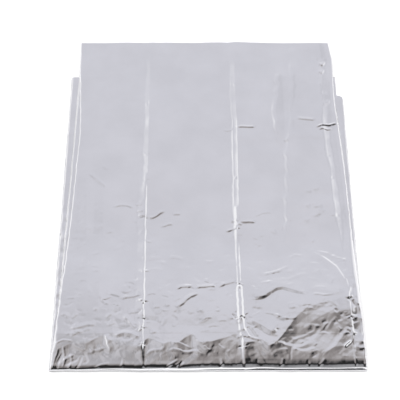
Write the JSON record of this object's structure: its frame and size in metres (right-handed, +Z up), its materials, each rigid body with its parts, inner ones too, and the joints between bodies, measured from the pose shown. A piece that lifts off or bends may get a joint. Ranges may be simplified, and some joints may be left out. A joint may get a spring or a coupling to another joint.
{
  "type": "emergency thermal blanket",
  "caption": "Thin metallised film emergency blanket, folded flat into a layered rectangular pack with a loose rolled front fold and hinged lengthwise leaves.",
  "frame": {"origin": "middle of the folded pack's footprint, on the surface it lies on", "axes": "+Z up; +Y from the front roll towards the top leaf's free rear edge; +X to the right, seen from the front"},
  "size_m": [0.351, 0.5298, 0.012],
  "materials": {
    "film": "thin crinkled metallised polyester film, silver, semi-mirror with fine wrinkles"
  },
  "bodies": {
    "leaf_1_bottom": {"film_1a": "film", "film_1b": "film", "film_1c": "film", "film_1d": "film", "side_fold_1ab": "film", "side_fold_1bc": "film", "side_fold_1cd": "film", "front_fold_lower": "film"},
    "leaf_2": {"film_2a": "film", "film_2b": "film", "film_2c": "film", "film_2d": "film", "side_fold_2ab": "film", "side_fold_2bc": "film", "side_fold_2cd": "film", "front_fold_upper": "film", "rear_fold_lower": "film"},
    "leaf_3": {"film_3a": "film", "film_3b": "film", "film_3c": "film", "film_3d": "film", "side_fold_3ab": "film", "side_fold_3bc": "film", "side_fold_3cd": "film", "rear_fold_upper": "film"},
    "leaf_4_top": {"film_4a": "film", "film_4b": "film", "film_4c": "film", "film_4d": "film", "side_fold_4ab": "film", "side_fold_4bc": "film", "side_fold_4cd": "film"}
  },
  "joints": [
    {"name": "front_fold", "type": "hinge", "parent": "leaf_1_bottom", "child": "leaf_2", "pos_m": [0, -0.265, 0.0011], "axis": [1, 0, 0], "range_deg": [0, 180]},
    {"name": "rear_fold", "type": "hinge", "parent": "leaf_2", "child": "leaf_3", "pos_m": [0, 0.205, 0.00235], "axis": [-1, 0, 0], "range_deg": [0, 180]},
    {"name": "front_roll", "type": "hinge", "parent": "leaf_3", "child": "leaf_4_top", "pos_m": [0, -0.265, 0.0073], "axis": [1, 0, 0], "range_deg": [0, 180]}
  ]
}
